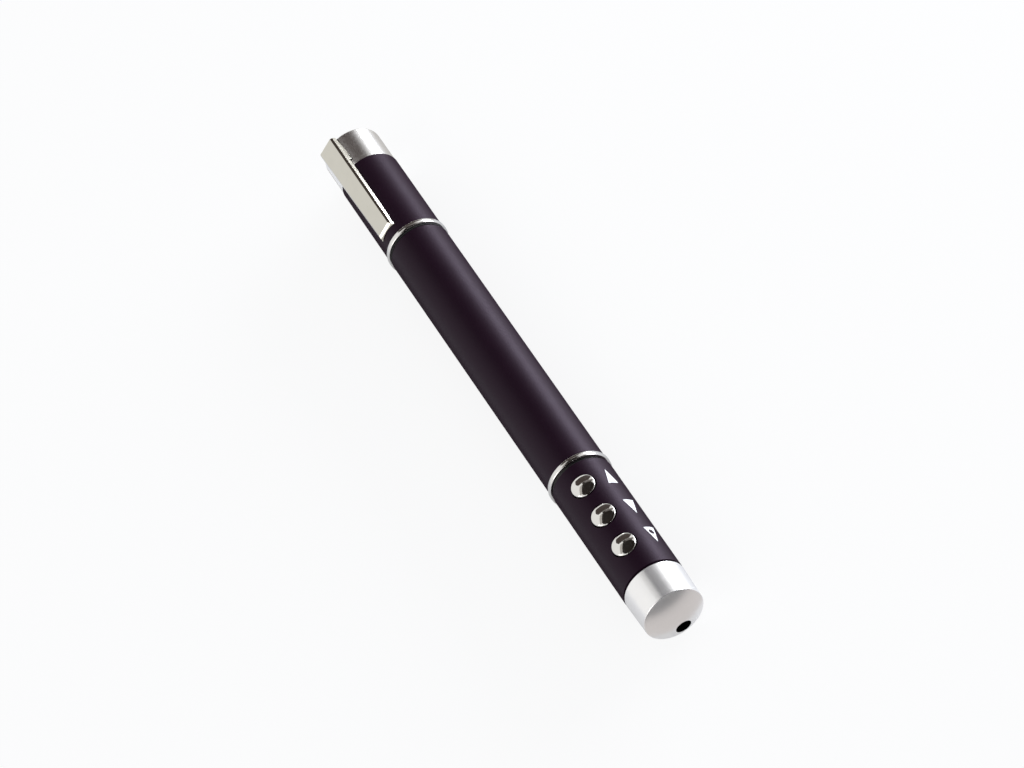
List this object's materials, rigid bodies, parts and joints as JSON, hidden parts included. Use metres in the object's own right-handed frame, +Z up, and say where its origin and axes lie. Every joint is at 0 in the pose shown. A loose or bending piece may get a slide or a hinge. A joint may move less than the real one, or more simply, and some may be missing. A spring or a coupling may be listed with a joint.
{
  "type": "laser pointer",
  "caption": "Pen-shaped laser pointer and presentation remote with domed buttons, a metal nose with an offset emitter hole, and an unscrewing tail with a spring clip.",
  "frame": {"origin": "on the ground plane under the pen's axis, half way along the pen", "axes": "+X along the pen towards the nose and emitter, +Z up through the button faces, +Y to the side away from the clip"},
  "size_m": [0.1522, 0.014, 0.0148],
  "materials": {
    "soft_coat": "dark soft-touch lacquer over drawn aluminium tube",
    "soft_coat_plastic": "dark soft-touch lacquer over moulded plastic",
    "satin_metal": "satin, turned and fine brushed",
    "chrome": "polished plate",
    "button_chrome": "moulded plastic with polished chrome plate",
    "brass": "turned",
    "nickel": "nickel-plated wire and can",
    "nickel_shell": "turned thread, bare",
    "switch_shell": "plastic body with a thin steel cover",
    "black_plastic": "moulded",
    "grey_plastic": "moulded",
    "liner_plastic": "thin rolled insulating tube",
    "seal_rubber": "moulded",
    "cell_jacket": "printed film jacket, no words",
    "board_laminate": "solder-masked glass laminate",
    "part_ceramic": "fired",
    "lens_glass": "polished",
    "red_insulation": "extruded",
    "black_insulation": "extruded"
  },
  "bodies": {
    "barrel_body": {"barrel": "soft_coat", "barrel_liner": "liner_plastic", "rear_cell": "cell_jacket", "front_cell": "cell_jacket", "head_coupling": "black_plastic", "front_ring": "chrome", "contact_holder": "grey_plastic", "positive_contact": "brass", "contact_pin": "brass", "head_sleeve": "soft_coat_plastic", "button_frame": "black_plastic", "control_board": "board_laminate", "board_carrier": "grey_plastic", "page_up_switch": "switch_shell", "page_down_switch": "switch_shell", "laser_switch": "switch_shell", "filter_capacitor": "part_ceramic", "boost_inductor": "black_plastic", "radio_chip": "black_plastic", "clock_crystal": "switch_shell", "chip_antenna": "part_ceramic", "nose_cap": "satin_metal", "module_holder": "black_plastic", "laser_housing": "brass", "driver_board": "board_laminate", "red_wire": "red_insulation", "black_wire": "black_insulation", "laser_lens": "lens_glass", "lens_spring": "nickel", "laser_diode": "nickel"},
    "ring_body": {"rear_ring": "chrome", "tail_seal": "seal_rubber"},
    "tail_body": {"tail_cap": "satin_metal", "cap_plug": "black_plastic", "tail_sleeve": "soft_coat", "tail_contact": "brass", "tail_spring": "nickel", "tail_insert": "nickel_shell"},
    "clip_body": {"clip": "chrome"},
    "page_up_key": {"page_up_button": "button_chrome", "page_up_plunger": "black_plastic"},
    "page_down_key": {"page_down_button": "button_chrome", "page_down_plunger": "black_plastic"},
    "laser_key": {"laser_button": "button_chrome", "laser_plunger": "black_plastic"}
  },
  "joints": [
    {"name": "tail_draw", "type": "slide", "parent": "barrel_body", "child": "ring_body", "axis": [-1, 0, 0], "range_m": [0, 0.00438]},
    {"name": "tail_turn", "type": "hinge", "parent": "ring_body", "child": "tail_body", "pos_m": [-0.04363, 0, 0.00699], "axis": [-1, 0, 0], "range_deg": [0, 1260]},
    {"name": "clip_flex", "type": "hinge", "parent": "tail_body", "child": "clip_body", "pos_m": [-0.0722, -0.0029, 0.01201], "axis": [0, -0.866, -0.5], "range_deg": [0, 4], "stiffness_Nm_per_rad": 1},
    {"name": "page_up_press", "type": "slide", "parent": "barrel_body", "child": "page_up_key", "axis": [0, 0, -1], "range_m": [0, 0.00035], "stiffness_N_per_m": 4000},
    {"name": "page_down_press", "type": "slide", "parent": "barrel_body", "child": "page_down_key", "axis": [0, 0, -1], "range_m": [0, 0.00035], "stiffness_N_per_m": 4000},
    {"name": "laser_press", "type": "slide", "parent": "barrel_body", "child": "laser_key", "axis": [0, 0, -1], "range_m": [0, 0.00035], "stiffness_N_per_m": 4000}
  ],
  "couplings": [
    {"joint": "tail_draw", "follows": "tail_turn", "m_per_rad": 0.00019894}
  ]
}
